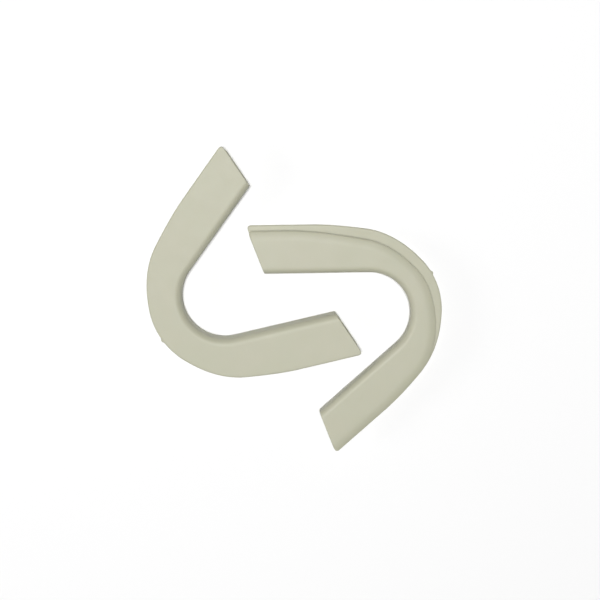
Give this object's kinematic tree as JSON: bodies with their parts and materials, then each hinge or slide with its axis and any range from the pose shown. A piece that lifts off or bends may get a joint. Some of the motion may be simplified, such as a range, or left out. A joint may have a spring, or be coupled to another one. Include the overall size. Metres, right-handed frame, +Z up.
{
  "type": "cheek retractor",
  "caption": "Pair of mirrored V-shaped lip and cheek retractors, each a one-piece moulded channel that opens outwards round a bend.",
  "frame": {"origin": "centre of the pair's footprint, on the surface that both rest on", "axes": "+Z up from that surface; +X from the retractor that lies cheek flange up towards the one that lies cheek flange down"},
  "size_m": [0.0932, 0.0978, 0.0072],
  "materials": {
    "left_plastic": "fine matt mould finish",
    "right_plastic": "fine matt mould finish"
  },
  "bodies": {
    "left_retractor": {"left_retractor": "left_plastic"},
    "right_retractor": {"right_retractor": "right_plastic"}
  },
  "joints": [
    {"name": "right_retractor_slide", "type": "slide", "parent": "left_retractor", "child": "right_retractor", "axis": [1, 0, 0], "range_m": [0, 0.04]}
  ]
}
